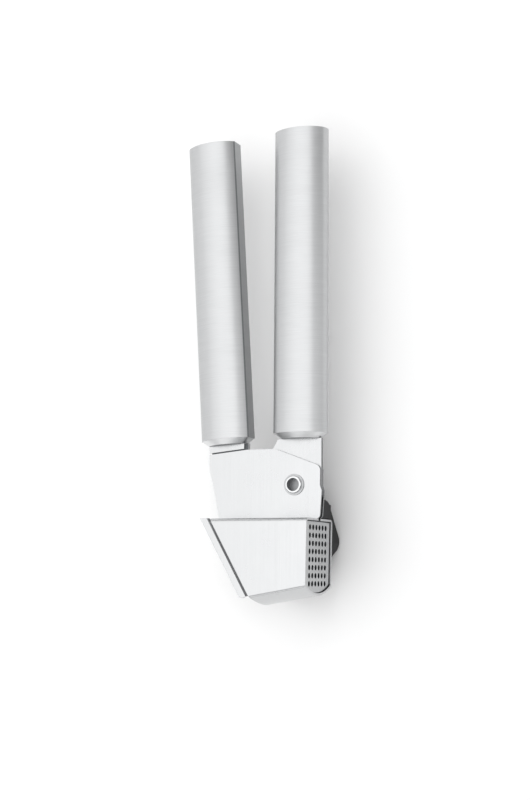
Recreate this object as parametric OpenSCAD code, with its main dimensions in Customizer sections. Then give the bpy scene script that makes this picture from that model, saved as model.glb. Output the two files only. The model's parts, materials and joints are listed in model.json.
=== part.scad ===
// Garlic press with two oval steel handles and a folded steel hopper.
// The pivot axis is vertical (Z) and the handles run along Y.

/* [Handles] */
// Length of each handle tube with its end pieces
handle_length = 120; // [112:1:128]
// Half of the handle's width, in the plane of the levers
handle_half_width = 10.8; // [10.4:0.1:11.2]
// Half of the handle's thickness
handle_half_thickness = 7; // [6.6:0.1:7.4]
// Radius of the narrow ends of the handle's oval
handle_end_radius = 5.2; // [5:0.1:5.4]
// Width of the flat strip on the inner side of each handle
handle_flat_width = 5.5; // [4:0.5:7]
// Wall of the handle tube
handle_wall = 0.8; // [0.6:0.1:1]
// Lean of the fixed handle away from the moving one, in degrees
handle_lean = 3.6; // [3.4:0.1:4]

/* [Hopper] */
// Thickness of the folded steel sheet
sheet = 0.8; // [0.7:0.1:0.9]
// Outer width of the hopper, from side wall to side wall
hopper_width = 26.4; // [26:0.2:27]
// Distance from the pivot down to the outside of the hopper's top wall
hopper_top = 12.8; // [12.6:0.1:13]
// Distance from the pivot to the outside of the hopper's floor
hopper_floor = 42.2; // [42:0.1:42.6]
// Slope of the hopper's floor, in degrees
floor_slope = 10.4; // [10:0.2:11]
// Radius of the floor's shallow curve
floor_radius = 28; // [26:1:34]
// Outside radius of the sheet's folds
fold_radius = 1.8; // [1.6:0.1:2.2]
// Width of the raised rim along each side of the mouth
rim_width = 3; // [2.4:0.1:3.2]
// Height of the rim above the side wall
rim_height = 1; // [0.8:0.1:1.2]

/* [Sieve] */
// Diameter of each hole
hole_diameter = 2; // [1.6:0.1:2.2]
// Spacing of the columns of holes
column_pitch = 3.15; // [3:0.05:3.2]
// Spacing of the rows of holes
row_pitch = 2.97; // [2.9:0.01:3]
// Columns of holes across the hopper
hole_columns = 6; // [4:1:6]
// Rows of holes down the hopper
hole_rows = 8; // [6:1:8]
// Lean of the sieve end, in degrees; its lower edge is nearer the mouth
sieve_lean = 1; // [0.5:0.25:1.5]

/* [Pivot and presser] */
// Thickness of the moving lever's plate
arm_thickness = 1.6; // [1.5:0.05:1.65]
// Diameter of the hollow rivet's shank
rivet_diameter = 6; // [5.9:0.1:6.2]
// Diameter of the hollow rivet's bore
rivet_bore = 4.9; // [4.7:0.1:5]
// Radial clearance of every running fit
running_gap = 0.05; // [0.03:0.01:0.09]
// Turn of the moving lever from its rest position to fully closed, in degrees
close_angle = 4; // [3.5:0.1:4.2]
// Thickness of the presser foot
foot_thickness = 2; // [1.8:0.1:2]

/* [Hidden] */

$fn = 96;
eps = 0.01;
past = 20;                       // how far a cutter runs past what it cuts

steel = [0.80, 0.80, 0.79];
bright_steel = [0.88, 0.88, 0.87];
sieve_steel = [0.66, 0.66, 0.65];
grey_plastic = [0.45, 0.46, 0.47];
black_plastic = [0.10, 0.10, 0.11];

// The stack of sheets at the pivot
side_gap = 0.1;                              // between the arm and each cheek
cheek_in = arm_thickness / 2 + side_gap;     // inner face of a cheek
cheek_out = cheek_in + sheet;                // outer face of a cheek

// The hopper
half_width = hopper_width / 2;
hopper_end = 9.9;                            // the sieve end, before it leans
mouth_top = [-29.5, -13.3];                  // the mouth's edge, near its top
mouth_angle = 29.5;                          // its slant from upright
mouth_dir = [sin(mouth_angle), -cos(mouth_angle)];
// distance along the slanted mouth to the outside of the floor
mouth_depth = (hopper_floor
               + mouth_top[1] * cos(floor_slope) - mouth_top[0] * sin(floor_slope))
              / cos(mouth_angle - floor_slope);
rim_short = 4;                               // the rims stop this far above the floor
rim_end = mouth_depth - rim_short;
rim_corner = 1.2;                            // chamfer at a rim's lower outer corner
rim_slope = 60;                              // of the rim's step, in degrees
rim_rise = rim_height / tan(rim_slope);      // how far the step leans out

// The sieve stands just inside the end of the hopper, welded to the near wall
sieve_thickness = 0.8;
sieve_recess = 0.6;                          // from the hopper's end to the sieve's face
sieve_in = hopper_end - sieve_recess - sieve_thickness;
sieve_floor = (hopper_floor - sieve_in * sin(floor_slope)) / cos(floor_slope);
sieve_gap = 0.4;                             // above and below; twice this on the far side
hole_rows_top = -16;                         // height of the first row

// The presser, drawn in the closed position
foot_clearance = 0.3;                        // left between the foot and the closed sieve
foot_front = sieve_in - foot_clearance;
foot_back = foot_front - foot_thickness;
foot_top = -15.2;
foot_gap = 0.5;                              // between the foot and the walls
foot_chamfer = 1;
bracket_sheet = 1.2;
bracket_foot = [-36, -19];                   // the bracket's flanges, low and high
bracket_flange = 6;                          // reach of a flange across the foot
small_rivet = 2;
small_rivet_head = 3.4;
small_rivet_head_height = 0.6;

// The rivet
washer_diameter = 8;
washer_height = 0.5;
head_diameter = 6.6;
head_height = 0.9;
rivet_end = cheek_out + washer_height + head_height;
near_bore_depth = 3.2;
far_bore_depth = 2.3;

// The oval of a handle: two long arcs and two round ends that meet smoothly
oval_end_x = handle_half_width - handle_end_radius;
oval_arc = (oval_end_x * oval_end_x
            + handle_half_thickness * handle_half_thickness
            - handle_end_radius * handle_end_radius)
           / (2 * (handle_half_thickness - handle_end_radius));
oval_arc_y = oval_arc - handle_half_thickness;
flat_x = oval_end_x + sqrt(pow(handle_end_radius, 2) - pow(handle_flat_width / 2, 2));

end_cap_height = 2;                          // the chamfered lower end
end_cap_taper = 0.74;
end_cap_step = 0.12;                         // the cap sits this far inside the tube's face
spigot_height = 4;                           // of the end cap, inside the tube
top_cap_height = 2.4;
top_cap_recess = 0.3;
core_length = 62;
tang_width = 11.6;
tang_depth = 44;
pin_diameter = 3;
pin_heights = [14, 34];
pin_cover = 0.6;                             // of the core's plastic over each pin's end

moving_handle_x = 1.8;
moving_handle_y = 17.5;
fixed_handle_x = -28.3;
fixed_handle_y = 15.9;

// The cleaner: a comb under a domed cover, held by a peg in the rivet
comb_centre = [-3, -17];
comb_plate = 1.2;
comb_pin_length = 3.6;
comb_pin_diameter = 1.5;
comb_gap = 0.4;                              // from the hopper's wall to the pins
comb_face = -half_width - comb_gap - comb_pin_length;
comb_half = [8.9, 11.9];                     // half of the comb plate's sides
comb_corner = 2;
cover_gap = 0.3;                             // between the cover and the hopper's wall
cover_base = -half_width - cover_gap;
cover_skirt = 2.2;
cover_round = 2.6;
// the cover's rounded corners: centre, radius and lowest level
cover_corners = [
    [[-9.2, -26.2], 4, -21], [[-9.2, -8.3], 4, -20.6], [[3.6, -7.4], 3, -20.4],
    [[3, -20.8], 6, -25], [[-6, -20], 6, -24.4], [[3, -26.5], 4, -19.4]
];
cover_low = -25;
clip_gap = 0.1;                              // between the clip and the rivet's head
clip_face = -rivet_end - clip_gap;
clip_plate = 2.4;
clip_left = -9.5;
clip_right = 9;
clip_seat = 0.4;                             // between the clip and the top wall
clip_low = -hopper_top + clip_seat;
boss_radius = 5;
peg_length = 1.9;

// The origin is at the middle of the model's outline, on its lowest level
fixed_left = fixed_handle_x - handle_length * sin(handle_lean)
             - handle_half_width * cos(handle_lean);
right_side = moving_handle_x + handle_half_width;
top_side = moving_handle_y + handle_length;
low_side = mouth_top[1] + mouth_depth * mouth_dir[1];
origin = [(fixed_left + right_side) / 2, (top_side + low_side) / 2, cover_low];

module placed() translate(-origin) children();

// Points along an arc, from one angle to the other
function arc(centre, radius, from, to, steps = 8) =
    [for (i = [0 : steps]) let (a = from + (to - from) * i / steps)
        centre + radius * [cos(a), sin(a)]];

// Leans the sieve end over, turning it about the pivot
module lean_over() rotate([0, 0, -sieve_lean]) children();
function leaning(point) = [
    point[0] * cos(sieve_lean) + point[1] * sin(sieve_lean),
    point[1] * cos(sieve_lean) - point[0] * sin(sieve_lean)
];

// A flat plate, centred on the plane of the levers
module plate(thickness) linear_extrude(thickness, center = true) children();

// ---------------------------------------------------------------- handles

// The handle's section; its flat strip faces +X
module handle_section(inset) {
    touch_x = oval_end_x * oval_arc / (oval_arc - handle_end_radius);
    intersection() {
        union() {
            intersection() {
                translate([0, oval_arc_y]) circle(r = oval_arc - inset, $fn = 240);
                translate([0, -oval_arc_y]) circle(r = oval_arc - inset, $fn = 240);
                square([2 * touch_x, 4 * handle_half_thickness], center = true);
            }
            for (side = [-1, 1])
                translate([side * oval_end_x, 0]) circle(r = handle_end_radius - inset);
        }
        translate([-past, -past]) square([past + flat_x - inset, 2 * past]);
    }
}

// Stands a section up along the handle, from one height to another
module along_handle(from, to) {
    translate([0, from, 0]) rotate([-90, 0, 0])
        linear_extrude(to - from) mirror([0, 1]) children();
}

module handle_tube() {
    difference() {
        along_handle(end_cap_height, handle_length) handle_section(0);
        along_handle(end_cap_height - past, handle_length + past)
            handle_section(handle_wall);
    }
}

module handle_top_cap() {
    top = handle_length - top_cap_recess;
    along_handle(top - top_cap_height, top) handle_section(handle_wall);
}

// The chamfered lower end, with a spigot inside the tube and a slot for the tang
module handle_end_cap(slot_thickness) {
    difference() {
        union() {
            translate([0, end_cap_height, 0]) rotate([90, 0, 0])
                linear_extrude(end_cap_height, scale = end_cap_taper)
                    handle_section(end_cap_step);
            along_handle(end_cap_height - eps, end_cap_height + spigot_height)
                handle_section(handle_wall);
        }
        tang_space(slot_thickness);
    }
}

module tang_space(slot_thickness) {
    translate([-tang_width / 2, -past, -slot_thickness / 2])
        cube([tang_width, past + tang_depth, slot_thickness]);
}

module handle_core(slot_thickness) {
    difference() {
        along_handle(end_cap_height + spigot_height, core_length)
            handle_section(handle_wall);
        tang_space(slot_thickness);
        cross_pins();
    }
}

module cross_pins() {
    length = 2 * (handle_half_thickness - handle_wall - pin_cover);
    for (height = pin_heights)
        translate([0, height, -length / 2]) cylinder(d = pin_diameter, h = length);
}

module pin_holes() {
    for (height = pin_heights)
        translate([0, height, 0]) cylinder(d = pin_diameter, h = past, center = true);
}

// The tongue of a lever's plate that goes up inside the handle
module tang_shape() {
    translate([-tang_width / 2, -1]) square([tang_width, tang_depth + 1]);
}

// Stands something up along the fixed handle's leaning axis
module on_fixed_axis()
    translate([fixed_handle_x, fixed_handle_y, 0]) rotate([0, 0, handle_lean]) children();

// Puts a handle piece on the fixed lever; its flat faces the moving handle
module on_fixed_lever() placed() on_fixed_axis() children();

// Puts a handle piece on the moving lever; its flat faces the fixed handle
module on_moving_lever()
    placed() translate([moving_handle_x, moving_handle_y, 0])
        mirror([1, 0, 0]) children();

module fixed_handle_tube() color(steel) on_fixed_lever() handle_tube();
module fixed_handle_top_cap() color(steel) on_fixed_lever() handle_top_cap();
module fixed_handle_end_cap() color(steel) on_fixed_lever() handle_end_cap(2 * cheek_in);
module fixed_handle_core() color(grey_plastic) on_fixed_lever() handle_core(2 * cheek_in);
module fixed_tang_pins() color(steel) on_fixed_lever() cross_pins();

module moving_handle_tube() color(steel) on_moving_lever() handle_tube();
module moving_handle_top_cap() color(steel) on_moving_lever() handle_top_cap();
module moving_handle_end_cap() color(steel) on_moving_lever() handle_end_cap(arm_thickness);
module moving_handle_core() color(grey_plastic) on_moving_lever() handle_core(arm_thickness);
module moving_tang_pins() color(steel) on_moving_lever() cross_pins();

// ----------------------------------------------------------------- hopper

// The hopper's section with its curved floor; X is height and Y is width
module floor_section(floor_x, inset, top = past) {
    corner_y = half_width - fold_radius;
    centre_x = floor_x + floor_radius;
    corner_x = centre_x - sqrt(pow(floor_radius - fold_radius, 2) - pow(corner_y, 2));
    touch_y = corner_y * (floor_radius - inset) / (floor_radius - fold_radius);
    intersection() {
        translate([centre_x, 0]) circle(r = floor_radius - inset, $fn = 360);
        translate([floor_x, -touch_y]) square([corner_x - floor_x + fold_radius, 2 * touch_y]);
    }
    for (side = [-1, 1])
        translate([corner_x, side * corner_y]) circle(r = fold_radius - inset);
    translate([corner_x, -half_width + inset])
        square([top - corner_x, hopper_width - 2 * inset]);
}

// The same width with rounded folds along the top edge
module roof_section(inset) {
    corner_y = half_width - fold_radius;
    corner_x = -hopper_top - fold_radius;
    translate([-3 * past, -half_width + inset])
        square([3 * past + corner_x, hopper_width - 2 * inset]);
    translate([-3 * past, -corner_y])
        square([3 * past - hopper_top - inset, 2 * corner_y]);
    for (side = [-1, 1])
        translate([corner_x, side * corner_y]) circle(r = fold_radius - inset);
}

// Draws a height-and-width section along X
module along_x(from, to) {
    translate([from, 0, 0]) rotate([90, 0, 90]) linear_extrude(to - from) children();
}

module hopper_space(inset) {
    intersection() {
        rotate([0, 0, floor_slope]) along_x(-3 * past, 2 * past)
            floor_section(-hopper_floor, inset);
        along_x(-3 * past, 2 * past) roof_section(inset);
    }
}

// Side view between the slanted mouth and the sieve end
module hopper_side() {
    top = mouth_top - 0.1 * past * mouth_dir;
    low = mouth_top + 3 * past * mouth_dir;
    linear_extrude(3 * past, center = true)
        polygon([top, low, leaning([hopper_end, low[1]]), leaning([hopper_end, top[1]])]);
}

// Section of a rim: a step out from the side wall and a flat band
module rim_section() {
    foot_reach = sheet / sin(rim_slope) - sheet / tan(rim_slope);
    inner = half_width - sheet;
    polygon([
        [0, inner], [0, half_width], [rim_rise, half_width + rim_height],
        [rim_width, half_width + rim_height], [rim_width, inner + rim_height],
        [rim_rise + foot_reach, inner + rim_height], [foot_reach, inner]
    ]);
}

// Outline of a rim, seen from its side of the hopper
module rim_outline() {
    polygon([
        [0, -past], [rim_width, -past], [rim_width, rim_end - rim_corner],
        [rim_width - rim_corner, rim_end], [0, rim_end]
    ]);
}

// The raised rims of the two side walls, below the level of the top wall
module hopper_lip() color(bright_steel) placed() {
    intersection() {
        for (side = [0, 1]) mirror([0, 0, side])
            translate([mouth_top[0], mouth_top[1], 0])
                rotate([0, 0, 180 + mouth_angle]) intersection() {
                    translate([0, 2 * past, 0]) rotate([90, 0, 0])
                        linear_extrude(3 * past) rim_section();
                    linear_extrude(past) rim_outline();
                }
        translate([-3 * past, -3 * past - hopper_top, -past])
            cube([3 * past, 3 * past, 2 * past]);
    }
}

// One cheek, seen along the pivot axis
module cheek_shape() {
    polygon(concat(
        [[-31, -hopper_top - sheet], [-33.4, -1.5], [-35, 4.4], [-35.6, 8.4]],
        [[-35.7, 12.2], [-19.5, 13.8]],
        arc([-9.7, 3.8], 10, 90, 70, 4),
        arc([7.9, 5.1], 2.6, 68, 5, 6),
        [[10.4, -0.3], [11.1, -2.2]],
        arc([8.9, -11.2], 1.6, 3, -90, 6),
        [[8.9, -hopper_top - sheet]]
    ));
}

module hopper_body() color(bright_steel) placed() {
    difference() {
        union() {
            difference() {
                intersection() {
                    hopper_space(0);
                    hopper_side();
                }
                hopper_space(sheet);
                translate([-3 * past, -past, -cheek_in]) cube([6 * past, past, 2 * cheek_in]);
            }
            for (side = [-1, 1])
                translate([0, 0, side * (cheek_in + sheet / 2)])
                    linear_extrude(sheet, center = true) cheek_shape();
        }
        translate([0, 0, -past]) cylinder(d = rivet_diameter, h = 2 * past);
    }
}

module sieve_plate() color(sieve_steel) placed() {
    difference() {
        intersection() {
            translate([0, 0, sieve_gap]) hopper_space(sheet + sieve_gap);
            lean_over() translate([sieve_in, -3 * past, -past])
                cube([sieve_thickness, 3 * past, 2 * past]);
        }
        lean_over() for (column = [0 : hole_columns - 1], row = [0 : hole_rows - 1])
            translate([sieve_in - past / 2,
                       hole_rows_top - row * row_pitch,
                       (column - (hole_columns - 1) / 2) * column_pitch])
                rotate([0, 90, 0]) cylinder(d = hole_diameter, h = past, $fn = 24);
    }
}

// The pad between the end cap and the slot above each cheek
module collar_shape()
    polygon([[-35.6, 12.77], [-20.9, 14.22], [-20.9, 16.3], [-35.6, 15.4]]);

module fixed_tang() color(bright_steel) placed()
    difference() {
        union() {
            plate(2 * cheek_in) {
                on_fixed_axis() tang_shape();
                polygon([[-35, 15.4], [-34.4, 6], [-31.5, -3], [-23, -3],
                         [-19.5, 3], [-19.5, 16.4]]);
            }
            for (side = [0, 1]) mirror([0, 0, side])
                translate([0, 0, cheek_in - eps]) linear_extrude(sheet + eps) collar_shape();
        }
        on_fixed_axis() pin_holes();
    }

// ------------------------------------------------------------------ pivot

module pivot_rivet() color(bright_steel) placed() {
    difference() {
        union() {
            translate([0, 0, -rivet_end + head_height])
                cylinder(d = rivet_diameter, h = 2 * (rivet_end - head_height));
            for (side = [0, 1]) mirror([0, 0, side])
                rotate_extrude() rivet_head();
        }
        translate([0, 0, rivet_end - near_bore_depth])
            cylinder(d = rivet_bore, h = near_bore_depth + eps);
        translate([0, 0, -rivet_end - eps])
            cylinder(d = rivet_bore, h = far_bore_depth + eps);
    }
}

// Half section of the rolled head
module rivet_head() {
    base = cheek_out + washer_height;
    round_r = (head_diameter - rivet_bore) / 4;
    translate([0, base]) square([head_diameter / 2, head_height - round_r]);
    translate([0, base]) square([head_diameter / 2 - round_r, head_height]);
    translate([head_diameter / 2 - round_r, base + head_height - round_r])
        circle(r = round_r);
}

module pivot_washers() color(steel) placed() {
    for (side = [0, 1]) mirror([0, 0, side])
        translate([0, 0, cheek_out]) difference() {
            cylinder(d = washer_diameter, h = washer_height);
            translate([0, 0, -eps]) cylinder(d = rivet_diameter, h = washer_height + 2 * eps);
        }
}

// ---------------------------------------------------------------- presser

// Turns what is drawn in the closed position back to rest
module at_rest() rotate([0, 0, -close_angle]) lean_over() children();

module bracket_side() polygon([
    [foot_back, -17.5], [foot_back, -37.5], [foot_back - 1.6, -37.5],
    [0.6, -34], [0.6, -25]
]);

module rivet_places() for (height = [-27, -32.5]) translate([2.8, height]) children();

module presser_arm() color(bright_steel) placed() {
    difference() {
        union() {
            plate(arm_thickness) {
                translate([moving_handle_x, moving_handle_y]) tang_shape();
                polygon([[-7.1, moving_handle_y], [10.6, moving_handle_y], [10.6, -4],
                         [8, -6], [-6, -6], [-8.6, 2], [-9.6, 13.4]]);
            }
            at_rest() plate(arm_thickness)
                polygon([[-6, -2], [7.6, -2], [7, -11], [foot_back, -15.5],
                         [foot_back, -37], [1.2, -37], [-1.6, -20], [-5, -9]]);
        }
        cylinder(d = rivet_diameter + 2 * running_gap, h = past, center = true);
        at_rest() rivet_places()
            cylinder(d = small_rivet, h = past, center = true, $fn = 48);
        translate([moving_handle_x, moving_handle_y]) pin_holes();
    }
}

module presser_foot() color(bright_steel) placed() at_rest() {
    inset = sheet + foot_gap;
    difference() {
        intersection() {
            along_x(foot_back, foot_front) floor_section(-sieve_floor, inset);
            translate([-past, -3 * past, -past])
                cube([2 * past, 3 * past + foot_top, 2 * past]);
        }
        // the chamfer that lets the foot turn under the top wall
        translate([foot_back, foot_top, 0]) rotate([0, 0, 45])
            cube([foot_chamfer * sqrt(2), foot_chamfer * sqrt(2), 2 * past], center = true);
    }
}

module presser_bracket() color(steel) placed() at_rest() {
    inner = arm_thickness / 2;
    difference() {
        union() {
            for (side = [-1, 1])
                translate([0, 0, side * (inner + bracket_sheet / 2)])
                    plate(bracket_sheet) bracket_side();
            for (side = [0, 1]) mirror([0, 0, side])
                translate([foot_back - bracket_sheet, bracket_foot[0], inner])
                    cube([bracket_sheet, bracket_foot[1] - bracket_foot[0], bracket_flange]);
        }
        rivet_places() cylinder(d = small_rivet, h = past, center = true, $fn = 48);
    }
}

module bracket_rivets() color(bright_steel) placed() at_rest() {
    outer = arm_thickness / 2 + bracket_sheet;
    rivet_places() {
        cylinder(d = small_rivet, h = 2 * outer, center = true, $fn = 48);
        for (side = [0, 1]) mirror([0, 0, side])
            translate([0, 0, outer])
                cylinder(d = small_rivet_head, h = small_rivet_head_height, $fn = 48);
    }
}

// ---------------------------------------------------------------- cleaner

module cleaner_cover() color(black_plastic) placed() {
    difference() {
        hull() for (corner = cover_corners)
            translate(corner[0]) {
                translate([0, 0, cover_base - cover_skirt])
                    cylinder(r = corner[1], h = cover_skirt, $fn = 32);
                translate([0, 0, corner[2] + cover_round])
                    scale([1, 1, cover_round / corner[1]]) sphere(r = corner[1], $fn = 32);
            }
        translate([0, 0, comb_face - comb_plate]) linear_extrude(past) comb_shape();
    }
}

module comb_shape() {
    inner = comb_half - [comb_corner, comb_corner];
    translate(comb_centre) {
        square([2 * comb_half[0], 2 * inner[1]], center = true);
        square([2 * inner[0], 2 * comb_half[1]], center = true);
        for (x = [-1, 1], y = [-1, 1])
            translate([x * inner[0], y * inner[1]]) circle(r = comb_corner);
    }
}

module cleaner_comb() color(black_plastic) placed() {
    translate([0, 0, comb_face - comb_plate]) linear_extrude(comb_plate) comb_shape();
    for (column = [0 : hole_columns - 1], row = [0 : hole_rows - 1])
        translate([comb_centre[0] + (column - (hole_columns - 1) / 2) * column_pitch,
                   comb_centre[1] + (row - (hole_rows - 1) / 2) * row_pitch,
                   comb_face - eps])
            cylinder(d = comb_pin_diameter, h = comb_pin_length, $fn = 24);
}

// Fills the step beside the cheek and reaches up to a peg in the rivet
module cleaner_clip() color(black_plastic) placed() {
    along_x(clip_left, clip_right)
        polygon([[clip_low, cover_base], [clip_low, clip_face], [-4.9, clip_face],
                 [-5.3, -6.5], [-6.4, -10], [-7.2, cover_base]]);
    translate([0, 0, clip_face - clip_plate]) {
        cylinder(r = boss_radius, h = clip_plate);
        translate([-boss_radius, clip_low, 0])
            cube([2 * boss_radius, -clip_low, clip_plate]);
    }
    translate([0, 0, clip_face - eps])
        cylinder(d = rivet_bore - 2 * running_gap, h = peg_length);
}

hopper_body();
hopper_lip();
sieve_plate();
fixed_tang();
pivot_rivet();
pivot_washers();
fixed_handle_tube();
fixed_handle_top_cap();
fixed_handle_end_cap();
fixed_handle_core();
fixed_tang_pins();
presser_arm();
presser_foot();
presser_bracket();
bracket_rivets();
moving_handle_tube();
moving_handle_top_cap();
moving_handle_end_cap();
moving_handle_core();
moving_tang_pins();
cleaner_cover();
cleaner_comb();
cleaner_clip();
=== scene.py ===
import json
import math
import bpy
from mathutils import Matrix, Vector


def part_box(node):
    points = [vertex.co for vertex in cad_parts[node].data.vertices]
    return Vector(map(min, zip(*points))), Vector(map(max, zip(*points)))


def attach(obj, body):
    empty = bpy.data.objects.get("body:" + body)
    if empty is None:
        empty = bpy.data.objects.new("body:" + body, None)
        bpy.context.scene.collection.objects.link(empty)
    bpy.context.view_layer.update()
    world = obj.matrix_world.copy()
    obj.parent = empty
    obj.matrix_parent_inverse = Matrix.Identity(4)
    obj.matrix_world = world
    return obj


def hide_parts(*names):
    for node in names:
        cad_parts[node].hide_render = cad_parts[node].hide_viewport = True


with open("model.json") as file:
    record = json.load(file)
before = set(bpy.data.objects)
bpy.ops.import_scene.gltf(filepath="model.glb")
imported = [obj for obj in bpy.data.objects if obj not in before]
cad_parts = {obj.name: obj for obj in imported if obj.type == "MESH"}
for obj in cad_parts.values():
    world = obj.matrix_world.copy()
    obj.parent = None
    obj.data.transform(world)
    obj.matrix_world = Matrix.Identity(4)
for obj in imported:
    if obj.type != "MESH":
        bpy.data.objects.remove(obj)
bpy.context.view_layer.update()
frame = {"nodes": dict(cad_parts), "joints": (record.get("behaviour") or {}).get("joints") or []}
NODES = frame["nodes"]
MM = 0.001

# ------------------------------------------------------------------ places

hinge = next(j for j in frame["joints"] if j["name"] == "presser_hinge")
PIVOT = Vector(hinge["pos_m"])
HANDLE_LEAN = math.radians(3.6)        # the fixed handle leans away from the moving one


# ------------------------------------------------------- shader node groups

def new_group(name, inputs, outputs):
    """An empty shader group with float inputs (with defaults) and named outputs."""
    group = bpy.data.node_groups.new(name, "ShaderNodeTree")
    for label, default in inputs:
        socket = group.interface.new_socket(label, in_out="INPUT", socket_type="NodeSocketFloat")
        socket.default_value = default
    for label, kind in outputs:
        group.interface.new_socket(label, in_out="OUTPUT", socket_type=kind)
    return group, group.nodes.new("NodeGroupInput"), group.nodes.new("NodeGroupOutput")


def maths(tree, operation, first, second):
    """One Math node; an argument may be a socket or a plain number."""
    node = tree.nodes.new("ShaderNodeMath")
    node.operation = operation
    for socket, value in zip(node.inputs, (first, second)):
        if isinstance(value, (int, float)):
            socket.default_value = value
        else:
            tree.links.new(value, socket)
    return node.outputs[0]


def stretched_noise(tree, vector, detail, rough):
    """Noise over a vector that is already scaled and stretched."""
    noise = tree.nodes.new("ShaderNodeTexNoise")
    noise.inputs["Scale"].default_value = 1.0
    noise.inputs["Detail"].default_value = detail
    noise.inputs["Roughness"].default_value = rough
    tree.links.new(vector, noise.inputs["Vector"])
    return noise.outputs["Fac"]


SLOW_ALONG = 0.35                       # the drift's pace beside the scratches' own
SLOW_ACROSS = 0.07
PATCH_FADES = 0.35                      # noise levels where a handling mark fades and is full
PATCH_FULL = 0.68


def make_brushing_group():
    """Fine parallel scratches running along local X, with a broad slow unevenness.

    Turn is the angle of the scratches about Z, Fine the scratches per metre, and
    Length how long each is in metres.
    """
    group, inside, outside = new_group(
        "brushing",
        [("Turn", 0.0), ("Fine", 4000.0), ("Length", 0.012)],
        [("Scratches", "NodeSocketFloat"), ("Drift", "NodeSocketFloat")],
    )
    links = group.links
    place = group.nodes.new("ShaderNodeTexCoord")
    turn = group.nodes.new("ShaderNodeVectorRotate")
    turn.rotation_type = "Z_AXIS"
    links.new(place.outputs["Object"], turn.inputs["Vector"])
    links.new(inside.outputs["Turn"], turn.inputs["Angle"])
    split = group.nodes.new("ShaderNodeSeparateXYZ")
    links.new(turn.outputs[0], split.inputs[0])
    along = maths(group, "DIVIDE", split.outputs["X"], inside.outputs["Length"])
    deep = maths(group, "DIVIDE", split.outputs["Z"], inside.outputs["Length"])
    across = maths(group, "MULTIPLY", split.outputs["Y"], inside.outputs["Fine"])
    fine = group.nodes.new("ShaderNodeCombineXYZ")
    links.new(along, fine.inputs["X"])
    links.new(across, fine.inputs["Y"])
    links.new(deep, fine.inputs["Z"])
    scratches = stretched_noise(group, fine.outputs[0], detail=5.0, rough=0.65)
    slow = group.nodes.new("ShaderNodeCombineXYZ")
    links.new(maths(group, "MULTIPLY", along, SLOW_ALONG), slow.inputs["X"])
    links.new(maths(group, "MULTIPLY", across, SLOW_ACROSS), slow.inputs["Y"])
    links.new(maths(group, "MULTIPLY", deep, SLOW_ALONG), slow.inputs["Z"])
    drift = stretched_noise(group, slow.outputs[0], detail=3.0, rough=0.5)
    links.new(scratches, outside.inputs["Scratches"])
    links.new(drift, outside.inputs["Drift"])
    return group


def make_smudge_group():
    """Soft patches left by handling and washing. Size is a patch's width in metres."""
    group, inside, outside = new_group(
        "handling_marks", [("Size", 0.02)], [("Patches", "NodeSocketFloat")]
    )
    place = group.nodes.new("ShaderNodeTexCoord")
    scale = group.nodes.new("ShaderNodeVectorMath")
    scale.operation = "SCALE"
    group.links.new(place.outputs["Object"], scale.inputs[0])
    group.links.new(maths(group, "DIVIDE", 1.0, inside.outputs["Size"]), scale.inputs["Scale"])
    patches = stretched_noise(group, scale.outputs[0], detail=3.0, rough=0.55)
    ramp = group.nodes.new("ShaderNodeMapRange")
    ramp.inputs["From Min"].default_value = PATCH_FADES
    ramp.inputs["From Max"].default_value = PATCH_FULL
    group.links.new(patches, ramp.inputs["Value"])
    group.links.new(ramp.outputs["Result"], outside.inputs["Patches"])
    return group


BRUSHING = make_brushing_group()
SMUDGES = make_smudge_group()


def use_group(tree, group, **values):
    node = tree.nodes.new("ShaderNodeGroup")
    node.node_tree = group
    for label, value in values.items():
        node.inputs[label].default_value = value
    return node


def blend_colours(tree, factor, first, second):
    mix = tree.nodes.new("ShaderNodeMix")
    mix.data_type = "RGBA"
    tree.links.new(factor, mix.inputs["Factor"])
    mix.inputs["A"].default_value = (*first, 1.0)
    mix.inputs["B"].default_value = (*second, 1.0)
    return mix.outputs["Result"]


def spread(tree, value, low, high):
    """Maps 0..1 to low..high."""
    node = tree.nodes.new("ShaderNodeMapRange")
    node.inputs["To Min"].default_value = low
    node.inputs["To Max"].default_value = high
    tree.links.new(value, node.inputs["Value"])
    return node.outputs["Result"]


def add_bump(tree, shader, height, distance, strength):
    bump = tree.nodes.new("ShaderNodeBump")
    bump.inputs["Distance"].default_value = distance
    bump.inputs["Strength"].default_value = strength
    tree.links.new(height, bump.inputs["Height"])
    tree.links.new(bump.outputs["Normal"], shader.inputs["Normal"])


def new_material(name):
    material = bpy.data.materials.new(name)
    material.use_nodes = True
    tree = material.node_tree
    shader = next(n for n in tree.nodes if n.type == "BSDF_PRINCIPLED")
    return material, tree, shader


# --------------------------------------------------------------- materials

BLUENESS = 0.006                        # stainless steel's grey leans a little to blue
SCRATCH_STRENGTH = 0.6
PLASTIC_SHINE = 0.3
PLASTIC_MARK = 0.012                    # width of a handling mark on plastic
GRAIN_DEPTH = 2e-5                      # of the plastic's moulded grain
GRAIN_STRENGTH = 0.35


def cool_grey(level):
    return (level - BLUENESS, level, level + BLUENESS)


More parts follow.
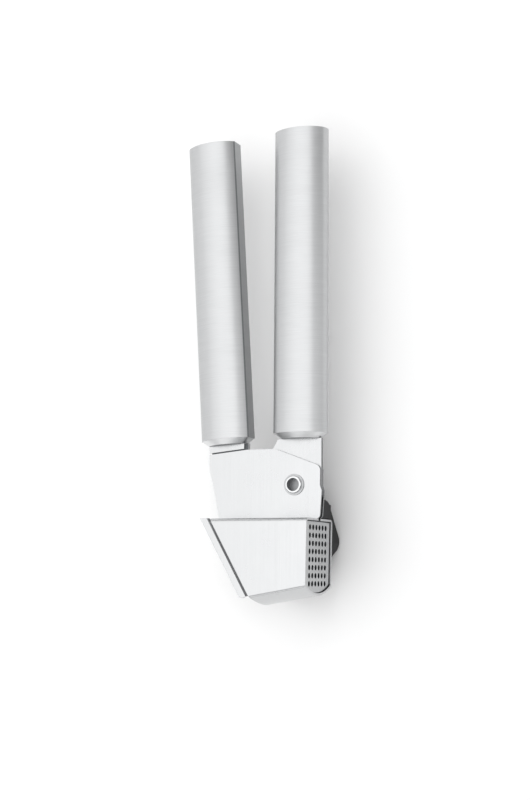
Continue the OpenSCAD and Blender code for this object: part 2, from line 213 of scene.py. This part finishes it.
def steel(name, dark, light, rough, turn, fine, length, bump, smudge=0.02, smudge_rough=0.05):
    """Brushed stainless: scratches tint the colour and mark the surface.

    dark and light are grey levels and rough the range of roughness. turn, fine and
    length place the scratches, and bump is their depth in metres. smudge is the width
    of a handling mark and smudge_rough how much rougher it is.
    """
    material, tree, shader = new_material(name)
    shader.inputs["Metallic"].default_value = 1.0
    brushing = use_group(tree, BRUSHING, Turn=turn, Fine=fine, Length=length)
    marks = use_group(tree, SMUDGES, Size=smudge)
    scratches = brushing.outputs["Scratches"]
    tree.links.new(
        blend_colours(tree, scratches, cool_grey(dark), cool_grey(light)),
        shader.inputs["Base Color"],
    )
    base = spread(tree, brushing.outputs["Drift"], rough[0], rough[1])
    touched = maths(tree, "MULTIPLY", marks.outputs["Patches"], smudge_rough)
    tree.links.new(maths(tree, "ADD", base, touched), shader.inputs["Roughness"])
    add_bump(tree, shader, scratches, bump, SCRATCH_STRENGTH)
    return material


def handle_steel(name, turn):
    """Handle finish: brushed round the tube, so the scratches cross the handle."""
    return steel(name, dark=0.47, light=0.60, rough=(0.30, 0.42),
                 turn=turn, fine=3600.0, length=0.011, bump=5e-6)


def moulded_plastic(name, colour, light_colour, rough, grain_size):
    """Moulded plastic with a fine spark-eroded grain and faint handling marks."""
    material, tree, shader = new_material(name)
    grain = use_group(tree, SMUDGES, Size=grain_size)
    marks = use_group(tree, SMUDGES, Size=PLASTIC_MARK)
    tree.links.new(
        blend_colours(tree, marks.outputs["Patches"], colour, light_colour),
        shader.inputs["Base Color"],
    )
    tree.links.new(
        spread(tree, marks.outputs["Patches"], rough[0], rough[1]), shader.inputs["Roughness"]
    )
    shader.inputs["Specular IOR Level"].default_value = PLASTIC_SHINE
    add_bump(tree, shader, grain.outputs["Patches"], GRAIN_DEPTH, GRAIN_STRENGTH)
    return material


CROSSWISE = 0.0
LENGTHWISE = math.radians(90)
moving_handle_finish = handle_steel("moving_handle_brushed_steel", CROSSWISE)
fixed_handle_finish = handle_steel("fixed_handle_brushed_steel", -HANDLE_LEAN)
# Painted light: the end caps are coloured much lighter than the top caps, to stand for light
# falling on their chamfers
end_painted_light_finish = steel("chamfered_end_painted_light_steel", dark=0.70, light=0.82, rough=(0.26, 0.38),
                   turn=CROSSWISE, fine=4200.0, length=0.008, bump=4e-6)
# Painted shade: the flat strips are coloured darker, to stand for the shadowed gap between the
# handles that they face
flat_painted_shade_finish = steel("flat_strip_painted_shade_steel", dark=0.336, light=0.416, rough=(0.34, 0.46),
                    turn=LENGTHWISE, fine=3600.0, length=0.02, bump=5e-6)
cap_finish = steel("end_cap_satin_steel", dark=0.45, light=0.56, rough=(0.26, 0.38),
                   turn=CROSSWISE, fine=5200.0, length=0.004, bump=4e-6)
sheet_finish = steel("hopper_bright_steel", dark=0.53, light=0.59, rough=(0.16, 0.26),
                     turn=LENGTHWISE, fine=5200.0, length=0.03, bump=1.5e-6,
                     smudge=0.014, smudge_rough=0.08)
arm_finish = steel("lever_plate_steel", dark=0.53, light=0.58, rough=(0.18, 0.30),
                   turn=LENGTHWISE, fine=5200.0, length=0.02, bump=2e-6,
                   smudge=0.012, smudge_rough=0.08)
sieve_finish = steel("sieve_matt_steel", dark=0.46, light=0.56, rough=(0.34, 0.46),
                     turn=LENGTHWISE, fine=6500.0, length=0.005, bump=4e-6)
# Painted shade: the walls of the punched holes are coloured nearly black, for the shade inside
# them
hole_painted_shade_finish = steel("punched_hole_painted_shade_steel", dark=0.05, light=0.09, rough=(0.5, 0.7),
                    turn=LENGTHWISE, fine=6500.0, length=0.002, bump=4e-6)
# Painted shade: a dark colour standing for the shade in the slot beside the tang's pads
seam_painted_shade_finish = steel("seam_painted_shade_steel", dark=0.10, light=0.17, rough=(0.45, 0.6),
                    turn=CROSSWISE, fine=5200.0, length=0.004, bump=4e-6)
# Painted shade: the rivet's bore is coloured dark, for the shade inside it
bore_painted_shade_finish = steel("rivet_bore_painted_shade_steel", dark=0.22, light=0.32, rough=(0.30, 0.45),
                    turn=CROSSWISE, fine=3000.0, length=0.002, bump=4e-6)
washer_finish = steel("washer_satin_steel", dark=0.38, light=0.47, rough=(0.22, 0.34),
                      turn=CROSSWISE, fine=3600.0, length=0.003, bump=3e-6,
                      smudge=0.003, smudge_rough=0.1)
# Partly painted shade: dull cut edges, coloured darker still to stand for the shade in the gaps
# beside them
dull_edge_and_painted_shade_finish = steel("dull_edge_and_painted_shade_steel", dark=0.20, light=0.30, rough=(0.40, 0.55),
                       turn=CROSSWISE, fine=7000.0, length=0.0015, bump=5e-6)
rivet_finish = steel("rivet_polished_steel", dark=0.60, light=0.68, rough=(0.10, 0.20),
                     turn=CROSSWISE, fine=3000.0, length=0.003, bump=1e-6,
                     smudge=0.003, smudge_rough=0.1)
black_finish = moulded_plastic("cleaner_black_plastic", (0.006, 0.006, 0.007),
                               (0.012, 0.012, 0.013), (0.5, 0.66), 0.0004)
core_finish = moulded_plastic("handle_core_grey_plastic", (0.28, 0.29, 0.30),
                              (0.34, 0.35, 0.36), (0.45, 0.6), 0.0006)


# ----------------------------------------------------------------- shaping

SAME_POINT = 2e-6                       # corners nearer than this are one corner
SAME_PLANE = math.radians(0.6)          # faces that turn less than this are one face
ROUNDING_STEPS = 3
SMOOTH_BELOW = math.radians(31)         # edges that turn less than this are shaded smooth
FACE_WEIGHT = 80                        # how far the large faces lead the shading


def select_only(piece):
    if bpy.context.mode != "OBJECT":
        bpy.ops.object.mode_set(mode="OBJECT")
    bpy.ops.object.select_all(action="DESELECT")
    piece.select_set(True)
    bpy.context.view_layer.objects.active = piece


def merged_copy(node, name):
    """A copy of a CAD node with its loose triangles joined into clean faces."""
    source = NODES[node]
    piece = bpy.data.objects.new(name, source.data.copy())
    bpy.context.scene.collection.objects.link(piece)
    select_only(piece)
    bpy.ops.mesh.customdata_custom_splitnormals_clear()
    bpy.ops.object.mode_set(mode="EDIT")
    bpy.ops.mesh.select_all(action="SELECT")
    bpy.ops.mesh.remove_doubles(threshold=SAME_POINT)
    bpy.ops.mesh.mark_sharp(clear=True)
    bpy.ops.mesh.dissolve_limited(angle_limit=SAME_PLANE)
    bpy.ops.object.mode_set(mode="OBJECT")
    return piece


def apply_modifier(piece, kind, **settings):
    modifier = piece.modifiers.new(kind.lower(), kind)
    for key, value in settings.items():
        setattr(modifier, key, value)
    select_only(piece)
    bpy.ops.object.modifier_apply(modifier=modifier.name)


def round_edges(piece, width, sharper_than):
    """Rounds the sharp edges, as tumbling or moulding does, and evens the shading."""
    apply_modifier(piece, "BEVEL", width=width, segments=ROUNDING_STEPS, limit_method="ANGLE",
                   angle_limit=math.radians(sharper_than), use_clamp_overlap=True,
                   miter_outer="MITER_ARC")
    select_only(piece)
    bpy.ops.object.shade_smooth_by_angle(angle=SMOOTH_BELOW)
    apply_modifier(piece, "WEIGHTED_NORMAL", keep_sharp=True, weight=FACE_WEIGHT)


def paint_faces(piece, material, wanted):
    """Gives a second material to the faces for which wanted(face) is true."""
    piece.data.materials.append(material)
    index = len(piece.data.materials) - 1
    for face in piece.data.polygons:
        if wanted(face):
            face.material_index = index


def finish_piece(piece, node, body, material):
    piece.data.materials.clear()
    piece.data.materials.append(material)
    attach(piece, body)
    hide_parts(node)


def rounded_piece(node, body, material, width, sharper_than):
    """The CAD node's own shape with its edges rounded."""
    piece = merged_copy(node, node + "_finished")
    round_edges(piece, width, sharper_than)
    finish_piece(piece, node, body, material)
    return piece


# ---------------------------------------------------------------- the press

BORE_RADIUS = 2.47 * MM                 # just outside the rivet's bore
BORE_DEEP = 2.4 * MM                    # the middles of its walls are this near the pivot's level
EDGE_MARGIN = 1.2 * MM                  # the holes keep this far from the plate's edges
TANG_HALF = 1.0 * MM                    # half the fixed tang's plate, with a margin
CHEEK_HALF = 1.75 * MM                  # half the stack of sheets, with a margin
HOPPER_TOP = 12.7 * MM                  # from the pivot down to just above the top wall
SIEVE_LOW, SIEVE_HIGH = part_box("sieve_plate")


def on_a_lever_edge(point):
    """Whether a point is on the stack of sheets above the hopper's top wall."""
    return abs(point.z - PIVOT.z) < CHEEK_HALF and point.y > PIVOT.y - HOPPER_TOP


def in_a_hole(point):
    """Whether a point on the sieve is away from the plate's outer edges."""
    return (SIEVE_LOW.y + EDGE_MARGIN < point.y < SIEVE_HIGH.y - EDGE_MARGIN
            and SIEVE_LOW.z + EDGE_MARGIN < point.z < SIEVE_HIGH.z - EDGE_MARGIN)


FIXED = "hopper_lever"
MOVING = "presser_lever"
CLEANER = "cleaner"

# Node, body, slot, finish, width of the rounding, and the angle past which an edge is rounded
ROUNDED = [
    ("hopper_body", FIXED, "satin_steel", sheet_finish, 0.14 * MM, 40),
    ("hopper_lip", FIXED, "satin_steel", sheet_finish, 0.14 * MM, 60),
    ("sieve_plate", FIXED, "sieve_steel", sieve_finish, 0.10 * MM, 60),
    ("fixed_tang", FIXED, "satin_steel", arm_finish, 0.15 * MM, 50),
    ("pivot_rivet", FIXED, "polished_steel", rivet_finish, 0.06 * MM, 60),
    ("pivot_washers", FIXED, "polished_steel", washer_finish, 0.08 * MM, 60),
    ("fixed_handle_tube", FIXED, "brushed_steel", fixed_handle_finish, 0.3 * MM, 20),
    ("fixed_handle_top_cap", FIXED, "cap_steel", cap_finish, 0.25 * MM, 60),
    ("fixed_handle_end_cap", FIXED, "cap_steel", end_painted_light_finish, 0.32 * MM, 30),
    ("presser_arm", MOVING, "satin_steel", arm_finish, 0.15 * MM, 50),
    ("presser_foot", MOVING, "satin_steel", arm_finish, 0.2 * MM, 40),
    ("presser_bracket", MOVING, "satin_steel", arm_finish, 0.15 * MM, 50),
    ("bracket_rivets", MOVING, "polished_steel", rivet_finish, 0.15 * MM, 60),
    ("moving_handle_tube", MOVING, "brushed_steel", moving_handle_finish, 0.3 * MM, 20),
    ("moving_handle_top_cap", MOVING, "cap_steel", cap_finish, 0.25 * MM, 60),
    ("moving_handle_end_cap", MOVING, "cap_steel", end_painted_light_finish, 0.32 * MM, 30),
    ("cleaner_cover", CLEANER, "black_plastic", black_finish, 0.4 * MM, 60),
    ("cleaner_clip", CLEANER, "black_plastic", black_finish, 0.1 * MM, 30),
]
pieces = {}
for node, body, slot, material, width, sharper_than in ROUNDED:
    pieces[node] = rounded_piece(node, body, material, width, sharper_than)

# Painted shade: the walls of the punched holes and the rivet's bore are coloured dark to stand
# for the shade inside them
FLAT_ENOUGH = 0.7                       # how squarely a face has to look along an axis
paint_faces(pieces["sieve_plate"], hole_painted_shade_finish,
            lambda face: abs(face.normal.x) < FLAT_ENOUGH and in_a_hole(face.center))
paint_faces(pieces["pivot_rivet"], bore_painted_shade_finish,
            lambda face: (face.center - PIVOT).xy.length < BORE_RADIUS
            and abs(face.center.z - PIVOT.z) < BORE_DEEP)

# Sheet steel's cut edges are coloured dark, partly as dull sheared steel and partly as painted
# shade for the gaps beside them
for node in ("hopper_body", "presser_arm"):
    paint_faces(pieces[node], dull_edge_and_painted_shade_finish,
                lambda face: abs(face.normal.z) < FLAT_ENOUGH and on_a_lever_edge(face.center))
# Painted shade: the slots beside the pads on the fixed tang are coloured dark
paint_faces(pieces["fixed_tang"], seam_painted_shade_finish,
            lambda face: abs(face.normal.z) > FLAT_ENOUGH
            and abs(face.center.z - PIVOT.z) < TANG_HALF)

# The flat strip of each tube, facing the other handle, is a little rougher and coloured darker
# as painted shade, with a painted dark line along its edges; the cut ends of the tubes and caps
# are coloured dark too, partly as dull steel and partly as painted shade
LEVEL_WITH_FLAT = 0.996                 # how squarely a face looks the way the flat does
BESIDE_FLAT = 0.81
CUT_END = 0.45                          # how squarely it looks along the handle
CAP_RIM = 0.86
# Handle, the way its flat strip faces, and the way the handle runs
HANDLES = [
    ("fixed_handle", Vector((math.cos(HANDLE_LEAN), math.sin(HANDLE_LEAN), 0)),
     Vector((-math.sin(HANDLE_LEAN), math.cos(HANDLE_LEAN), 0))),
    ("moving_handle", Vector((-1, 0, 0)), Vector((0, 1, 0))),
]
for handle, flat, axis in HANDLES:
    tube = pieces[handle + "_tube"]
    paint_faces(tube, flat_painted_shade_finish, lambda face: face.normal.dot(flat) > LEVEL_WITH_FLAT)
    paint_faces(tube, dull_edge_and_painted_shade_finish,
                lambda face: BESIDE_FLAT < face.normal.dot(flat) <= LEVEL_WITH_FLAT
                or abs(face.normal.dot(axis)) > CUT_END)
    paint_faces(pieces[handle + "_end_cap"], dull_edge_and_painted_shade_finish,
                lambda face: -face.normal.dot(axis) > CAP_RIM)

# What lies inside keeps its own shape and takes its own finish
INSIDE = {
    "fixed_handle_core": core_finish,
    "moving_handle_core": core_finish,
    "fixed_tang_pins": rivet_finish,
    "moving_tang_pins": rivet_finish,
    "cleaner_comb": black_finish,
}
for node, material in INSIDE.items():
    for part_slot in NODES[node].material_slots:
        part_slot.material = material


# ------------------------------------------------------------------ setting

WHITE = (1.0, 1.0, 1.0, 1.0)
FLOOR_SIZE = 6.0
FLOOR_COLOUR = (0.92, 0.92, 0.92, 1.0)
FLOOR_ROUGHNESS = 0.9
FLOOR_SHINE = 0.1
SENSOR_MM = 36.0
WORLD_STRENGTH = 0.30
# Name, place, the point it faces, width, depth and brightness
SOFTBOXES = [
    ("ceiling_softbox_left", (-0.95, 0.1, 1.0), (-0.95, 0.1, 0), 1.0, 2.4, 1.16),
    ("ceiling_softbox_right", (0.05, 0.1, 1.0), (0.05, 0.1, 0), 1.0, 2.4, 1.36),
    ("left_softbox", (-1.6, 0.2, 0.5), (0, 0, 0.1), 1.6, 0.9, 0.9),
    ("right_softbox", (1.15, 0.1, 0.85), (0, 0, 0.1), 0.7, 1.8, 0.85),
    ("back_softbox", (0, 1.8, 0.55), (0, 0, 0.1), 2.8, 0.8, 0.8),
    ("front_softbox", (0.1, -1.7, 0.55), (0, 0, 0.1), 2.8, 0.8, 0.95),
]


def softbox(name, place, target, width, depth, brightness):
    """A large even light; brightness is what it looks like when seen directly."""
    lamp = bpy.data.lights.new(name, "AREA")
    lamp.shape = "RECTANGLE"
    lamp.size = width
    lamp.size_y = depth
    lamp.energy = brightness * math.pi * width * depth
    light = bpy.data.objects.new(name, lamp)
    light.location = place
    light.rotation_mode = "QUATERNION"
    light.rotation_quaternion = (Vector(target) - Vector(place)).to_track_quat("-Z", "Y")
    bpy.context.scene.collection.objects.link(light)


def make_floor():
    bpy.ops.object.select_all(action="DESELECT")
    bpy.ops.mesh.primitive_plane_add(size=FLOOR_SIZE, location=(0, 0, 0))
    floor = bpy.context.active_object
    floor.name = "floor"
    material, tree, shader = new_material("pale_floor")
    shader.inputs["Base Color"].default_value = FLOOR_COLOUR
    shader.inputs["Roughness"].default_value = FLOOR_ROUGHNESS
    shader.inputs["Specular IOR Level"].default_value = FLOOR_SHINE
    floor.data.materials.append(material)


def make_camera():
    """Over the hopper end, a little to the sieve's side, with handles upright in view."""
    lens_mm = 63.0
    forward = Vector((-0.401, 0.126, -0.907)).normalized()
    roll = math.radians(0.46)
    place = PIVOT + Vector((202.8, -34.9, 488.2)) * MM
    data = bpy.data.cameras.new("camera")
    data.lens = lens_mm
    data.sensor_width = SENSOR_MM
    camera = bpy.data.objects.new("camera", data)
    right = forward.cross(Vector((0, 1, 0))).normalized()
    up = right.cross(forward)
    turn = Matrix((right, up, -forward)).transposed().to_4x4()
    camera.matrix_world = Matrix.Translation(place) @ turn @ Matrix.Rotation(roll, 4, "Z")
    bpy.context.scene.collection.objects.link(camera)
    bpy.context.scene.camera = camera


def make_lights():
    world = bpy.data.worlds.new("studio")
    world.use_nodes = True
    background = world.node_tree.nodes["Background"]
    background.inputs["Color"].default_value = WHITE
    background.inputs["Strength"].default_value = WORLD_STRENGTH
    bpy.context.scene.world = world
    for name, place, target, width, depth, brightness in SOFTBOXES:
        softbox(name, place, target, width, depth, brightness)


make_floor()
make_lights()
make_camera()
bpy.context.scene.view_settings.view_transform = "Standard"
